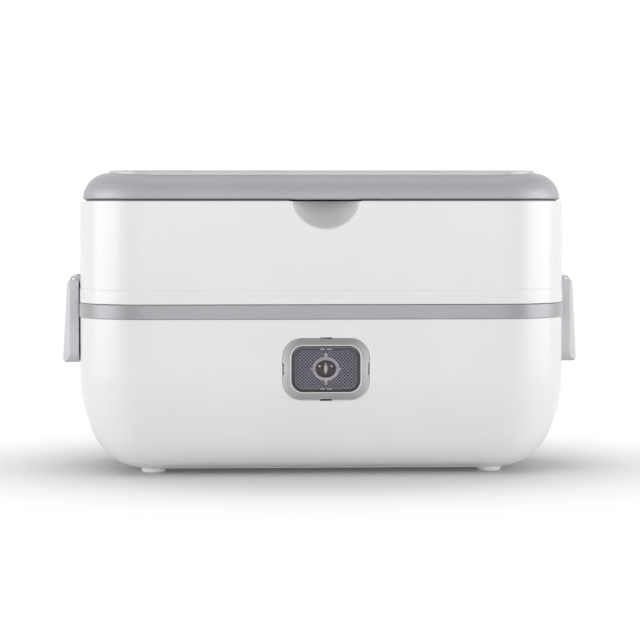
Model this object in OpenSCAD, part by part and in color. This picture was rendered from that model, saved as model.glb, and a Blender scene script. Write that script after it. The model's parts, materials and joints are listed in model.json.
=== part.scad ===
// Electric lunch box: a heated base with a steam pan, a steel food box with its own cover, an upper
// case with a storage tray and a hinged lid, and two side clips that hold the case on the base.
// Millimetres. Origin on the floor below the middle of the body, +X right, -Y front, +Z up.
// "Inset" is a distance inward from the straight side walls of the body, the same all round.

/* [Body] */
// Width of the body over its side walls
body_w = 235; // [215:1:260]
// Depth of the body over its front and back walls
body_d = 120; // [112:1:140]
// Radius of the body's four corners seen from above
corner_r = 34; // [32:0.5:37]
// Wall of the lower shell
wall = 2.5; // [2:0.1:3]
// Height of the lower shell from its flat bottom to the grey band
lower_h = 73.3; // [70:0.1:80]
// Height of the grey band ring
band_h = 7.1; // [6.5:0.1:8.5]
// How far the band ring stands out of the lower shell
band_proud = 0.5; // [0.2:0.1:0.8]
// Open seam between the band ring and the upper shell
seam = 0.2; // [0.1:0.05:0.6]
// Height of the upper shell
upper_h = 48.9; // [46:0.1:56]

/* [Lower shell curve] */
// Height of the upright part of the side wall below the band ring
upright_h = 27.3; // [24:0.1:29]
// Radius of the long side curve
side_arc_r = 72.5; // [68:0.5:78]
// Angle that the long side curve turns through before the tighter bottom curve
side_arc_deg = 25; // [23:0.5:27]

/* [Feet and bottom cover] */
// Height of the feet under the flat bottom
foot_h = 2.4; // [2:0.1:4]
// Diameter of a foot
foot_d = 13; // [11:0.5:15]
// Distance between the left and right feet
foot_pitch_x = 164; // [154:1:166]
// Distance between the front and back feet
foot_pitch_y = 50; // [48:1:53]
// Length of the bottom cover
cover_w = 181; // [179:0.5:183]
// Width of the bottom cover
cover_d = 67; // [66:0.5:69]
// Corner radius of the bottom cover
cover_r = 9; // [7:0.5:11]
// Thickness of the bottom cover
cover_t = 2.1; // [1.6:0.1:2.3]
// Width of the ledge that the bottom cover seats on
cover_ledge = 5; // [4:0.1:5.4]
// Distance between the cover screws along the body
cover_screw_x = 112; // [96:1:124]
// Distance between the cover screws across the body
cover_screw_y = 58; // [54:0.5:59]
// Number of air slots on each side of the bottom cover
vent_count = 7; // [4:1:9]
// Pitch of the air slots
vent_pitch = 5.5; // [4.5:0.1:6]

/* [Lamp window] */
// Width of the lamp bezel
lamp_w = 41.5; // [39:0.1:44]
// Height of the lamp bezel
lamp_h = 29.4; // [28.5:0.1:31]
// Corner radius of the lamp bezel
lamp_r = 9.3; // [8.5:0.1:10]
// Width of the lens
lens_w = 32.9; // [31:0.1:33.5]
// Height of the lens
lens_h = 22; // [20:0.1:22.4]
// Corner radius of the lens
lens_r = 5.6; // [5:0.1:6]
// Distance from the band ring down to the middle of the lamp window
lamp_drop = 23.6; // [21.5:0.1:25.5]
// Diameter of the collar round the lamp
lamp_collar_d = 12; // [11:0.1:13]

/* [Power inlet] */
// Where the inlet's upright face stands, as a distance from the middle of the body's side wall
inlet_inset = 7.8; // [7:0.1:8.5]
// Height of the middle of the inlet above the floor
inlet_z = 23.5; // [22.5:0.5:25]
// Width of the inlet flange
inlet_w = 32; // [30:0.5:34]
// Height of the inlet flange
inlet_h = 19; // [17:0.5:20]
// Distance between the two contact pins
inlet_pin_pitch = 8.6; // [8:0.1:9]

/* [Steam pan and heater] */
// Inset of the pan's outer wall
pan_inset = 13.6; // [13.2:0.1:14.4]
// Height of the pan's bottom above the floor
pan_z = 38; // [37:0.5:40]
// Radius of the pan's bottom edge
pan_edge_r = 8; // [6:0.5:10]
// Thickness of the steel sheet of the pan and the food box
sheet_t = 0.6; // [0.5:0.05:0.8]
// Diameter of the heater plate
heater_d = 80; // [76:1:84]
// Thickness of the heater plate
heater_t = 6; // [5:0.5:7]
// Diameter of the ring that the heating rod follows
rod_ring_d = 56; // [54:0.5:60]
// Diameter of the heating rod
rod_d = 6.6; // [6:0.1:7]
// Distance between the two studs that hold the heater clamp
stud_pitch = 96; // [94:0.5:104]
// Width of the heater clamp
clamp_w = 24; // [22:0.5:28]

/* [Food box] */
// Inset of the food box's outer wall
box_inset = 16.5; // [16.2:0.1:17.2]
// Height of the food box's bottom above the floor
box_z = 44; // [43.5:0.5:48]
// Radius of the food box's bottom edge
box_edge_r = 10; // [8:0.5:12]
// How far the middle of the cover is raised
cover_rise = 3; // [2:0.1:3.4]
// Place of the steam plug along the cover
plug_x = 66; // [50:1:70]

/* [Upper case] */
// Wall of the upper shell
upper_wall = 2.4; // [2:0.1:2.7]
// How far the upper wall leans in from bottom to top
upper_draft = 0.2; // [0:0.05:0.4]
// Height of the thicker skirt at the bottom of the upper shell
skirt_h = 6.7; // [5:0.1:9]
// How far the skirt stands out of the upper wall
skirt_proud = 0.25; // [0.1:0.05:0.4]
// Half the width of the finger scoop at the rim
scoop_half_w = 16.6; // [15:0.1:19]
// Depth of the finger scoop below the rim
scoop_drop = 13.3; // [11:0.1:14.5]
// Depth of the finger scoop into the case
scoop_in = 10.8; // [9:0.1:11]
// Radius of the rounded edge of the finger scoop
scoop_edge_r = 1.6; // [0.8:0.1:2]
// Inset of the storage tray's outer wall
tray_inset = 14; // [13.8:0.1:16]
// Depth of the storage tray below its flange
tray_h = 31.8; // [26:0.2:32]
// Wall of the storage tray
tray_wall = 1.6; // [1.4:0.1:2]

/* [Lid] */
// Gap between the rim of the upper shell and the edge of the lid
lid_gap = 0.8; // [0.6:0.05:1]
// Inset of the edge of the lid
lid_inset = 1.4; // [1:0.1:1.6]
// Radius of the lid's rounded shoulder, which is also its height
lid_round = 12.8; // [12.2:0.1:14]
// Wall of the lid
lid_wall = 2.2; // [2:0.1:2.4]
// Radius of the lid's lower edge
lid_lip_r = 1; // [0.6:0.1:1]
// Length of the raised panel on the lid
panel_w = 207.2; // [196:0.4:208]
// Depth of the raised panel on the lid
panel_d = 102; // [97:0.5:103]
// Corner radius of the raised panel
panel_r = 22; // [18:0.5:26]
// How far the panel stands above the lid
panel_rise = 1.1; // [1:0.1:2.2]
// Radius of the panel's top edge
panel_edge_r = 0.8; // [0.4:0.1:1]

/* [Lid hinge] */
// Radius of the lid hinge pins
hinge_pin_r = 0.9; // [0.8:0.05:1]
// Radius of the hinge knuckles
knuckle_r = 1.9; // [1.8:0.05:1.95]
// Distance from the middle of the lid to the middle of each hinge
hinge_x = 58; // [40:1:66]
// Length of the lid's knuckle in each hinge
lid_knuckle_l = 14; // [10:0.5:20]
// Length of each knuckle of the shell
shell_knuckle_l = 8; // [6:0.5:10]

/* [Side clips] */
// Width of a clip
clip_w = 40; // [36:0.5:44]
// Height of a clip
clip_h = 40.4; // [38:0.2:43]
// Distance from the side wall to the clip's outer face at the top
clip_out_top = 6.6; // [6:0.1:7]
// Distance from the side wall to the clip's outer face at the bottom
clip_out_bottom = 8.8; // [8:0.1:9.5]
// Wall of a clip
clip_wall = 1.8; // [1.5:0.1:2]
// Distance from the side wall at which the bevel of the clip's upright edges starts
clip_bevel_out = 5.4; // [4.6:0.1:5.8]
// Radius of the clip pins
clip_pin_r = 0.75; // [0.7:0.05:0.8]
// Radius of the clip's knuckle and of the lugs beside it
clip_knuckle_r = 1.6; // [1.5:0.05:1.65]
// Distance from the side wall to the clip pin
clip_pin_out = 3.6; // [3.4:0.1:3.8]
// Height of the clip pin above the lower edge of the upper shell
clip_pin_up = 10.8; // [10.3:0.1:12.3]
// Half the length of the clip's knuckle
clip_knuckle_half = 13.6; // [12:0.1:15]
// Thickness of each lug
lug_t = 3.5; // [2.5:0.1:4]
// Width of the catch on the band ring
catch_w = 18; // [14:0.5:20]
// How far the hook reaches under the catch
hook_grip = 1; // [0.6:0.1:1.2]

/* [Hidden] */
$fn = 144;

white = [0.9, 0.9, 0.9];
grey = [0.66, 0.66, 0.68];
pale_grey = [0.76, 0.76, 0.77];
steel = [0.75, 0.76, 0.78];
dark = [0.2, 0.2, 0.22];
silicone = [0.86, 0.87, 0.88];

// Clearances and small fits
eps = 0.01;
pin_gap = 0.05;
press_gap = 0.02;
fit_gap = 0.2;
move_gap = 0.3;
screw_gap = 0.05;

// Centres of the plan corners
corner_x = body_w / 2 - corner_r;
corner_y = body_d / 2 - corner_r;

// Levels from the floor up
z_band = foot_h + lower_h;
side_arc_z = z_band - upright_h;
lamp_z = z_band - lamp_drop;
z_deck = z_band + band_h;
z_upper = z_deck + seam;
z_rim = z_upper + upper_h;
z_lid = z_rim + lid_gap;
z_lid_top = z_lid + lid_round;
z_top = z_lid_top + panel_rise;

// Lower shell curve: the tighter bottom arc is tangent to the side arc and to the flat bottom
bottom_arc_r = (side_arc_z - side_arc_r * sin(side_arc_deg) - foot_h) / (1 - sin(side_arc_deg));
bottom_arc_x = corner_r - side_arc_r + (side_arc_r - bottom_arc_r) * cos(side_arc_deg);
bottom_arc_z = foot_h + bottom_arc_r;
arc_lap = 0.01;

// Bottom cover and its screws
z_ledge = foot_h + cover_t;
ledge_t = 2.4;
ledge_margin = 3;
cover_boss_r = 4;
cover_boss_h = 9;
foot_stud_r = 1.9;
foot_barb_r = 2.4;
screw_r = 1.25;
screw_head_r = 2.9;
screw_head_h = 1;
cover_screw_l = cover_t + 5;

// Band ring section, as insets
leg_in = 1.4;
deck_t = 2.4;
seat_drop = 1.2;
z_seat = z_deck - seat_drop;
deck_in = 13;
skirt_in = wall + fit_gap;
ring_wall = 2;
ring_skirt_drop = 5;
tongue_out = 5.1;
tongue_in = tongue_out + ring_wall;
tongue_h = 4.5;
z_tongue = z_deck + tongue_h;
band_chamfer = 0.4;

// What lies on the seat inside the ring, from below: gasket, pan flange, food box flange, seal, cover
gasket_t = 1;
gasket_set_back = 0.8;
pan_flange_in = tongue_in + 0.7;
z_pan_flange = z_seat + gasket_t;
z_box_flange = z_pan_flange + sheet_t;
z_box_top = z_box_flange + sheet_t;
seal_t = 2;
z_cover = z_box_top + seal_t;
lid_plate_t = 1.5;
box_cover_out = 11.2;
box_cover_skirt = 1;
box_flange_out = box_cover_out + box_cover_skirt + move_gap;
seal_out = box_flange_out + 1.3;
seal_w = 2.6;
seal_rib_in = seal_out + seal_w + move_gap;
raised_out = 22;
z_cover_top = z_cover + lid_plate_t + cover_rise;

// Steam plug
plug_hole_r = 3.1;
plug_stem_r = plug_hole_r - move_gap;
plug_head_r = 6.5;
plug_head_t = 1.9;
plug_tab_h = 1.4;

// Upper shell's sealing groove: the ring's tongue stands in it and carries the seal
upper_seal_t = 2;
z_groove = z_tongue + upper_seal_t;
groove_out = tongue_out - 0.7;
groove_in = tongue_in + 0.7;
groove_rib = 2;
groove_drop = 3;
ledge_drop = 2.3;
shelf_t = 1.8;
tray_flange_t = 1.6;
z_tray_flange = z_rim - ledge_drop;
z_tray = z_tray_flange + tray_flange_t - tray_h;
tray_edge_r = 6;

// Finger scoop: a ball whose middle stands above the rim and in front of the wall
scoop_r_face = (scoop_half_w * scoop_half_w + scoop_drop * scoop_drop) / (2 * scoop_drop);
scoop_z = z_rim - scoop_drop + scoop_r_face;
scoop_r = (scoop_r_face * scoop_r_face + scoop_in * scoop_in) / (2 * scoop_in);
scoop_y = -body_d / 2 + scoop_in - scoop_r;
scoop_wall = 1.8;
scoop_flare_y = (upper_draft - body_d) / 2;
scoop_flare_in = scoop_flare_y - scoop_y;
scoop_flare_r = sqrt(pow(scoop_r + scoop_edge_r, 2) - pow(scoop_flare_in + scoop_edge_r, 2));
scoop_flare_end = scoop_r * (scoop_flare_in + scoop_edge_r) / (scoop_r + scoop_edge_r);

// Lid: the panel is let into the roof, and the roof keeps its wall under it
panel_seat = z_lid_top - 1.8;
lid_roof = panel_seat - 2;
panel_wall = 1.6;
lid_skirt_out = upper_draft + upper_wall + move_gap;
lid_skirt_in = lid_skirt_out + 1.6;
lid_skirt_z = z_tray_flange + tray_flange_t;

// Lid hinge
hinge_y = body_d / 2 - knuckle_r;
hinge_z = z_rim + knuckle_r + move_gap;
hinge_clear = 0.3;

// Side clips, drawn on the right side
clip_x = body_w / 2;
clip_gap = 0.5;
clip_in = band_proud + clip_gap;
clip_pin_x = clip_x + clip_pin_out;
clip_pin_z = z_upper + clip_pin_up;
clip_top = clip_pin_z - 0.3;
clip_notch_z = clip_pin_z - clip_knuckle_r - move_gap;
clip_bottom = clip_top - clip_h;
clip_corner_r = 5;
clip_rib_out = 3.4;
catch_out = band_proud + 1.7;
catch_h = 2.5;
z_catch = z_band + 1.2;
hook_t = 2;
hook_x = catch_out - hook_grip;
lug_y = clip_knuckle_half + move_gap;

// Power inlet
inlet_x = body_w / 2 - inlet_inset;
inlet_flange_t = 1.8;
inlet_corner = 3;
inlet_block_wall = 1.6;
inlet_block_depth = 9;
inlet_core_w = 20;
inlet_core_h = 12;
inlet_core_l = 16;
inlet_slot_r = 4.2;
inlet_slot_half = 4;
inlet_cavity = 12;
inlet_pin_r = 1.2;
inlet_screw_y = inlet_w / 2 - 3.2;
inlet_screw_l = 7;

// Lamp window, from the front face inward
lamp_flange_t = 1.2;
lamp_dish = 0.25;
lamp_barrel_wall = 1.3;
lamp_barrel_margin = 1;
lamp_depth = 8.5;
lens_set_back = 0.3;
lens_flange_t = 1.6;
slot_l = 5.7;
slot_w = 0.95;
side_slot_w = 0.7;
side_slot_depth = 0.6;
face_y = -body_d / 2;
lamp_barrel_w = lens_w + 2 * (lamp_barrel_margin + lamp_barrel_wall);
lamp_barrel_h = lens_h + 2 * (lamp_barrel_margin + lamp_barrel_wall);
lamp_barrel_r = lens_r + lamp_barrel_margin + lamp_barrel_wall;
holder_t = 1.4;
board_t = 1.4;

// Heater
z_heater = pan_z - heater_t;
rod_ring_r = rod_ring_d / 2;
rod_z = z_heater - 1;
rod_gap_deg = 60;
rod_sink = 1;
rod_stud_drop = 12;
clamp_t = 1.2;
z_clamp = rod_z - rod_d / 2 - 0.8;
clamp_flat = 17;
clamp_run = 3;
clamp_end = 6;
stud_r = 2;
nut_h = 2.4;
thermo_r = 7.8;
thermo_h = 10;
thermo_flange_w = 24;
thermo_flange_d = 12;
thermo_tab_h = 7;
fuse_r = 2;
fuse_y = 18;
z_fuse = z_heater - fuse_r - 0.05;
lead_r = 1.1;
lead_sides = 8;

// A rectangle with round corners
module rounded_rect(w, d, r) {
    square([w - 2 * r, d], center = true);
    square([w, d - 2 * r], center = true);
    for (x = [-1, 1], y = [-1, 1])
        translate([x * (w / 2 - r), y * (d / 2 - r)]) circle(r);
}

// Carries a profile round a rounded rectangle: its x runs outward from the corners' centres
module sweep_around(cx, cy) {
    for (q = [0:3])
        translate([q == 0 || q == 3 ? cx : -cx, q < 2 ? cy : -cy, 0])
            rotate(90 * q) rotate_extrude(angle = 90) children();
    for (turn = [0, 180]) {
        rotate(turn) translate([cx, cy, 0]) rotate([90, 0, 0]) linear_extrude(2 * cy) children();
        rotate(turn + 90) translate([cy, cx, 0]) rotate([90, 0, 0]) linear_extrude(2 * cx) children();
    }
}

module around_body() {
    sweep_around(corner_x, corner_y) children();
}

// A rectangle of the body's section between two insets and two levels
module bar(out, in, low, high) {
    translate([corner_r - in, low]) square([in - out, high - low]);
}

// The section of a vessel with a round bottom edge, from the corner axis to an inset
module cup(inset, low, r, high) {
    bar(inset, corner_r, low + r, high);
    bar(inset + r, corner_r, low, low + r);
    translate([corner_r - inset - r, low + r])
        intersection() {
            circle(r);
            translate([0, -r]) square(r);
        }
}

// A level plate that fills the middle between the corner axes
module middle(low, high) {
    translate([-corner_x, -corner_y, low]) cube([2 * corner_x, 2 * corner_y, high - low]);
}

// A plate of its own size between two levels
module pad(w, d, r, low, high) {
    translate([0, 0, low]) linear_extrude(high - low) rounded_rect(w, d, r);
}

// Puts a copy at each of four corners of a rectangle
module at_four(pitch_x, pitch_y) {
    for (x = [-1, 1], y = [-1, 1]) translate([x * pitch_x / 2, y * pitch_y / 2, 0]) children();
}

// Lays a shape drawn in plan upright in the front wall, its top side turned to the front
module in_front(depth) {
    translate([0, face_y + depth, lamp_z]) rotate([90, 0, 0]) children();
}

// The lower shell's section, shrunk by an inset. The bottom arc is drawn a hair past both of its
// tangent points, so that it crosses the side arc and the flat bottom instead of just touching them.
module lower_section(inset, high) {
    side_r = side_arc_r - inset;
    turn_z = side_arc_z - side_r * sin(side_arc_deg);
    low = foot_h + inset;
    translate([0, side_arc_z]) square([corner_r - inset, high - side_arc_z]);
    intersection() {
        translate([corner_r - side_arc_r, side_arc_z]) circle(side_r);
        translate([0, turn_z]) square([corner_r, side_arc_z - turn_z]);
    }
    intersection() {
        translate([bottom_arc_x, bottom_arc_z]) circle(bottom_arc_r - inset + arc_lap);
        translate([0, low]) square([corner_r, side_arc_z - low]);
    }
    translate([0, low]) square([bottom_arc_x, turn_z - low]);
}

module lower_shell() {
    color(white) difference() {
        union() {
            difference() {
                union() {
                    around_body() difference() {
                        lower_section(0, z_band);
                        lower_section(wall, z_band + 1);
                    }
                    middle(foot_h, foot_h + wall);
                    pad(cover_w + 2 * ledge_margin, cover_d + 2 * ledge_margin, cover_r + ledge_margin,
                        foot_h + wall / 2, z_ledge + ledge_t);
                }
                pad(cover_w - 2 * cover_ledge, cover_d - 2 * cover_ledge, cover_r - cover_ledge,
                    0, z_ledge + 2 * ledge_t);
            }
            at_four(cover_screw_x, cover_screw_y)
                translate([0, 0, z_ledge]) cylinder(r = cover_boss_r, h = cover_boss_h);
            inlet_block();
        }
        pad(cover_w + 2 * fit_gap, cover_d + 2 * fit_gap, cover_r + fit_gap, 0, z_ledge);
        at_four(cover_screw_x, cover_screw_y)
            translate([0, 0, z_ledge - 1]) cylinder(r = screw_r, h = cover_boss_h);
        lamp_hole();
        inlet_hole();
    }
}

module lamp_hole() {
    in_front(lamp_flange_t) linear_extrude(2 * wall)
        rounded_rect(lamp_w + fit_gap, lamp_h + fit_gap, lamp_r + fit_gap / 2);
    in_front(2 * wall) linear_extrude(4 * wall)
        rounded_rect(lamp_barrel_w + 2 * fit_gap, lamp_barrel_h + 2 * fit_gap, lamp_barrel_r + fit_gap);
    for (side = [-1, 1]) lamp_slot(side);
}

// A slot at the upper or lower edge of the bezel, open through the bezel and the wall
module lamp_slot(side) {
    translate([-slot_l / 2, face_y - 1, lamp_z + side * lamp_h / 2 - slot_w / 2])
        cube([slot_l, 2 * wall + 1, slot_w]);
}

// The upright seat for the inlet: it fills in the curved wall below and is let into it above
module inlet_block() {
    w = inlet_w + 2 * (fit_gap + inlet_block_wall);
    h = inlet_h + 2 * (fit_gap + inlet_block_wall);
    translate([inlet_x - inlet_block_depth, -w / 2, inlet_z - h / 2]) cube([inlet_block_depth, w, h]);
}

module inlet_hole() {
    w = inlet_w + 2 * fit_gap;
    h = inlet_h + 2 * fit_gap;
    translate([inlet_x - inlet_flange_t, 0, inlet_z]) rotate([90, 0, 90])
        linear_extrude(inlet_inset + inlet_flange_t + 1) rounded_rect(w, h, inlet_corner + fit_gap);
    translate([inlet_x - 2 * inlet_block_depth, 0, inlet_z]) rotate([90, 0, 90])
        linear_extrude(2 * inlet_block_depth)
        rounded_rect(inlet_core_w + 2 * fit_gap, inlet_core_h + 2 * fit_gap, inlet_corner + fit_gap);
    for (y = [-1, 1])
        translate([inlet_x - inlet_block_depth - 1, y * inlet_screw_y, inlet_z]) rotate([0, 90, 0])
            cylinder(r = screw_r, h = inlet_block_depth);
}

module bottom_cover() {
    color(white) difference() {
        union() {
            pad(cover_w, cover_d, cover_r, foot_h, z_ledge);
            for (y = [-1, 1])
                translate([-cover_screw_x / 2 + 10, y * 19 - 0.6, z_ledge - eps])
                    cube([cover_screw_x - 20, 1.2, 2 + eps]);
        }
        at_four(foot_pitch_x, foot_pitch_y) cylinder(r = foot_stud_r + screw_gap, h = 2 * z_ledge);
        at_four(cover_screw_x, cover_screw_y) {
            cylinder(r = screw_r + 0.4, h = 2 * z_ledge);
            cylinder(r = screw_head_r + fit_gap, h = foot_h + screw_head_h);
        }
        for (side = [-1, 1], k = [0:vent_count - 1])
            translate([side * (18 + vent_pitch * k), 0, 0]) linear_extrude(2 * z_ledge)
                rounded_rect(2.2, 26, 1.05);
    }
}

module screw(length) {
    cylinder(r = screw_r - screw_gap, h = length);
    difference() {
        translate([0, 0, -screw_head_h]) cylinder(r = screw_head_r, h = screw_head_h);
        for (turn = [0, 90])
            rotate(turn) translate([-1.8, -0.35, -screw_head_h - 1]) cube([3.6, 0.7, 1.6]);
    }
}

module cover_screws() {
    color(steel) at_four(cover_screw_x, cover_screw_y)
        translate([0, 0, foot_h + screw_head_h]) screw(cover_screw_l);
}

module feet() {
    color(white) at_four(foot_pitch_x, foot_pitch_y) {
        rotate_extrude() polygon([[0, 0], [foot_d / 2 - 1.4, 0], [foot_d / 2 - 0.6, 0.6],
            [foot_d / 2, foot_h], [0, foot_h]]);
        translate([0, 0, foot_h - eps]) cylinder(r = foot_stud_r, h = cover_t + 0.1 + eps);
        translate([0, 0, z_ledge + 0.1 - eps]) cylinder(r1 = foot_barb_r, r2 = foot_stud_r, h = 1.6);
    }
}

module band_ring() {
    color(grey) {
        around_body() {
            translate([corner_r, 0]) polygon([[-leg_in, z_band], [band_proud - band_chamfer, z_band],
                [band_proud, z_band + band_chamfer], [band_proud, z_deck - band_chamfer],
                [band_proud - band_chamfer, z_deck], [-leg_in, z_deck]]);
            bar(leg_in, deck_in, z_seat - deck_t, z_seat);
            bar(skirt_in, skirt_in + ring_wall, z_band - ring_skirt_drop, z_seat - deck_t);
            bar(tongue_out, tongue_in, z_seat, z_tongue);
        }
        for (side = [0, 180]) rotate(side) catch();
    }
}

// The tab on the ring that a clip hooks under
module catch() {
    translate([body_w / 2, catch_w / 2, 0]) rotate([90, 0, 0]) linear_extrude(catch_w)
        polygon([[0, z_catch], [catch_out, z_catch], [catch_out, z_catch + catch_h / 2],
            [band_proud, z_catch + catch_h], [0, z_catch + catch_h]]);
}

module pan_gasket() {
    color(silicone) around_body() bar(pan_flange_in, deck_in - gasket_set_back, z_seat, z_pan_flange);
}

module heating_pan() {
    color(steel) {
        around_body() difference() {
            union() {
                cup(pan_inset, pan_z, pan_edge_r, z_box_flange);
                bar(pan_flange_in, corner_r, z_pan_flange, z_box_flange);
            }
            cup(pan_inset + sheet_t, pan_z + sheet_t, pan_edge_r - sheet_t, z_box_flange + 1);
        }
        middle(pan_z, pan_z + sheet_t);
        for (x = [-1, 1])
            translate([x * stud_pitch / 2, 0, z_clamp - clamp_t - nut_h - 1])
                cylinder(r = stud_r, h = pan_z - z_clamp + clamp_t + nut_h + 1 + eps);
    }
}

module heater_plate() {
    color([0.7, 0.71, 0.72]) {
        translate([0, 0, z_heater]) cylinder(d = heater_d, h = heater_t);
        translate([0, 0, rod_z]) rotate(-90 + rod_gap_deg / 2)
            rotate_extrude(angle = 360 - rod_gap_deg) translate([rod_ring_r, 0]) circle(d = rod_d);
        for (side = [-1, 1])
            rotate(-90 + side * rod_gap_deg / 2) translate([rod_ring_r, 0, rod_z]) {
                translate([0, 0, -8]) cylinder(d = rod_d + 0.6, h = z_heater - rod_z + 8 + rod_sink);
                translate([0, 0, -rod_stud_drop]) cylinder(r = 1, h = 5);
            }
    }
}

module heater_clamp() {
    x_end = stud_pitch / 2 + clamp_end;
    x_step = clamp_flat + clamp_run;
    color(steel) difference() {
        translate([0, clamp_w / 2, 0]) rotate([90, 0, 0]) linear_extrude(clamp_w)
            polygon([[-x_end, z_clamp - clamp_t], [-x_step, z_clamp - clamp_t],
                [-clamp_flat, z_heater - clamp_t], [clamp_flat, z_heater - clamp_t],
                [x_step, z_clamp - clamp_t], [x_end, z_clamp - clamp_t],
                [x_end, z_clamp], [x_step + clamp_t / 2, z_clamp],
                [clamp_flat + clamp_t / 2, z_heater], [-clamp_flat - clamp_t / 2, z_heater],
                [-x_step - clamp_t / 2, z_clamp], [-x_end, z_clamp]]);
        for (x = [-1, 1])
            translate([x * stud_pitch / 2, 0, 0]) cylinder(r = stud_r + fit_gap, h = z_heater);
        cylinder(r = thermo_r + fit_gap, h = z_heater + 1);
    }
}

module clamp_nuts() {
    color(steel) for (x = [-1, 1])
        translate([x * stud_pitch / 2, 0, z_clamp - clamp_t - nut_h]) difference() {
            cylinder(r = 4, h = nut_h, $fn = 6);
            translate([0, 0, -1]) cylinder(r = stud_r + screw_gap, h = nut_h + 2);
        }
}

module thermostat() {
    color(dark) {
        translate([0, 0, z_heater - thermo_h]) cylinder(r = thermo_r, h = thermo_h);
        translate([0, 0, z_heater - clamp_t - 1]) linear_extrude(1)
            rounded_rect(thermo_flange_w, thermo_flange_d, 3);
        for (x = [-1, 1])
            translate([x * 4 - 0.4, -3, z_heater - thermo_h - thermo_tab_h])
                cube([0.8, 6, thermo_tab_h + eps]);
    }
}

module thermal_fuse() {
    color([0.85, 0.85, 0.8]) translate([0, fuse_y, z_fuse]) rotate([0, 90, 0]) {
        cylinder(r = fuse_r, h = 11, center = true);
        cylinder(r = 0.6, h = 20, center = true);
    }
}

// A lead as a tube along points chosen by hand, each ring square to the path
function unit(v) = v / norm(v);
function along(p, k) = unit(p[min(k + 1, len(p) - 1)] - p[max(k - 1, 0)]);
function across(t) = unit(cross(t, abs(t.z) < 0.9 ? [0, 0, 1] : [0, 1, 0]));
module lead(p, r, sides) {
    n = len(p);
    ring = [for (k = [0:n - 1], s = [0:sides - 1])
        let (t = along(p, k), u = across(t), v = cross(t, u), a = 360 * s / sides)
        p[k] + r * cos(a) * u + r * sin(a) * v];
    skin = [for (k = [0:n - 2], s = [0:sides - 1], half = [0, 1])
        let (a = k * sides + s, b = k * sides + (s + 1) % sides)
        half == 0 ? [a, a + sides, b + sides] : [a, b + sides, b]];
    start = [for (s = [1:sides - 2]) [0, s, s + 1]];
    finish = [for (s = [1:sides - 2]) (n - 1) * sides * [1, 1, 1] + [0, s + 1, s]];
    polyhedron(ring, concat(skin, start, finish));
}

module internal_leads() {
    rod_end_x = rod_ring_r * sin(rod_gap_deg / 2);
    rod_end_y = -rod_ring_r * cos(rod_gap_deg / 2);
    z_rod_end = rod_z - rod_stud_drop;
    z_tab = z_heater - thermo_h - thermo_tab_h;
    back = inlet_x - inlet_cavity - 8;
    pin_y = inlet_pin_pitch / 2;
    color([0.7, 0.2, 0.15]) {
        lead([[back, pin_y, inlet_z], [back - 1, pin_y, inlet_z], [back - 8, 5, 21], [60, 12, 14],
            [36, 12, 12], [14, 4, 11], [4.6, 0, z_tab - 1.2]], lead_r, lead_sides);
        lead([[back, -pin_y, inlet_z], [back - 1, -pin_y, inlet_z], [back - 8, -6, 21], [60, -18, 13],
            [36, -24, 13], [rod_end_x + 4, rod_end_y, 14], [rod_end_x, rod_end_y, z_rod_end - 1.2]],
            lead_r, lead_sides);
        lead([[-4.6, 0, z_tab - 1.2], [-12, 4, 11], [-20, 14, 13], [-15, 18, 19],
            [-14.5, 18.5, 26], [-12, fuse_y, z_fuse], [-10, fuse_y, z_fuse]], lead_r, lead_sides);
        lead([[10, fuse_y, z_fuse], [12, fuse_y, z_fuse], [14.5, 18.5, 26], [15, 17, 19], [20, 10, 17],
            [20, -8, 16], [4, -18, 14], [4 - rod_end_x, rod_end_y + 1, 14],
            [-rod_end_x, rod_end_y, z_rod_end - 1.2]], lead_r, lead_sides);
    }
}

module lamp_bezel() {
    barrel_y = lamp_depth;
    color(pale_grey) {
        difference() {
            union() {
                in_front(lamp_flange_t) linear_extrude(lamp_flange_t - lamp_dish)
                    rounded_rect(lamp_w, lamp_h, lamp_r);
                in_front(lamp_flange_t) linear_extrude(lamp_flange_t) difference() {
                    rounded_rect(lamp_w, lamp_h, lamp_r);
                    rounded_rect(lamp_w - 1.2, lamp_h - 1.2, lamp_r - 0.6);
                }
                in_front(lamp_flange_t) linear_extrude(lamp_flange_t)
                    rounded_rect(lens_w + 1.8, lens_h + 1.8, lens_r + 0.9);
                in_front(barrel_y) linear_extrude(barrel_y - lamp_flange_t + eps)
                    rounded_rect(lamp_barrel_w, lamp_barrel_h, lamp_barrel_r);
                lamp_snaps();
            }
            in_front(barrel_y + 1) linear_extrude(barrel_y + 2) rounded_rect(lens_w, lens_h, lens_r);
            in_front(barrel_y + 1) linear_extrude(barrel_y + 1 - lamp_flange_t)
                rounded_rect(lens_w + 2 * lamp_barrel_margin, lens_h + 2 * lamp_barrel_margin,
                    lens_r + lamp_barrel_margin);
            for (side = [-1, 1]) {
                lamp_slot(side);
                translate([side * (lamp_w - side_slot_w) / 2, face_y, lamp_z])
                    cube([side_slot_w + eps, 2 * side_slot_depth, slot_l], center = true);
            }
        }
    }
}

// Snap hooks that hold the bezel behind the front wall
module lamp_snaps() {
    z_half = lamp_barrel_h / 2;
    drop = side_arc_z - lamp_z + z_half + 1;
    lean = side_arc_r - sqrt(side_arc_r * side_arc_r - drop * drop);
    for (side = [0, 1]) {
        y = face_y + wall + 0.1 + side * lean;
        translate([0, 0, lamp_z]) rotate([0, 180 * side, 0]) translate([-slot_l / 2, 0, 0])
            rotate([90, 0, 90]) linear_extrude(slot_l)
            polygon([[y, z_half - 0.3], [y, z_half + 1], [y + 2.1, z_half], [y + 2.1, z_half - 0.3]]);
    }
}

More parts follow.
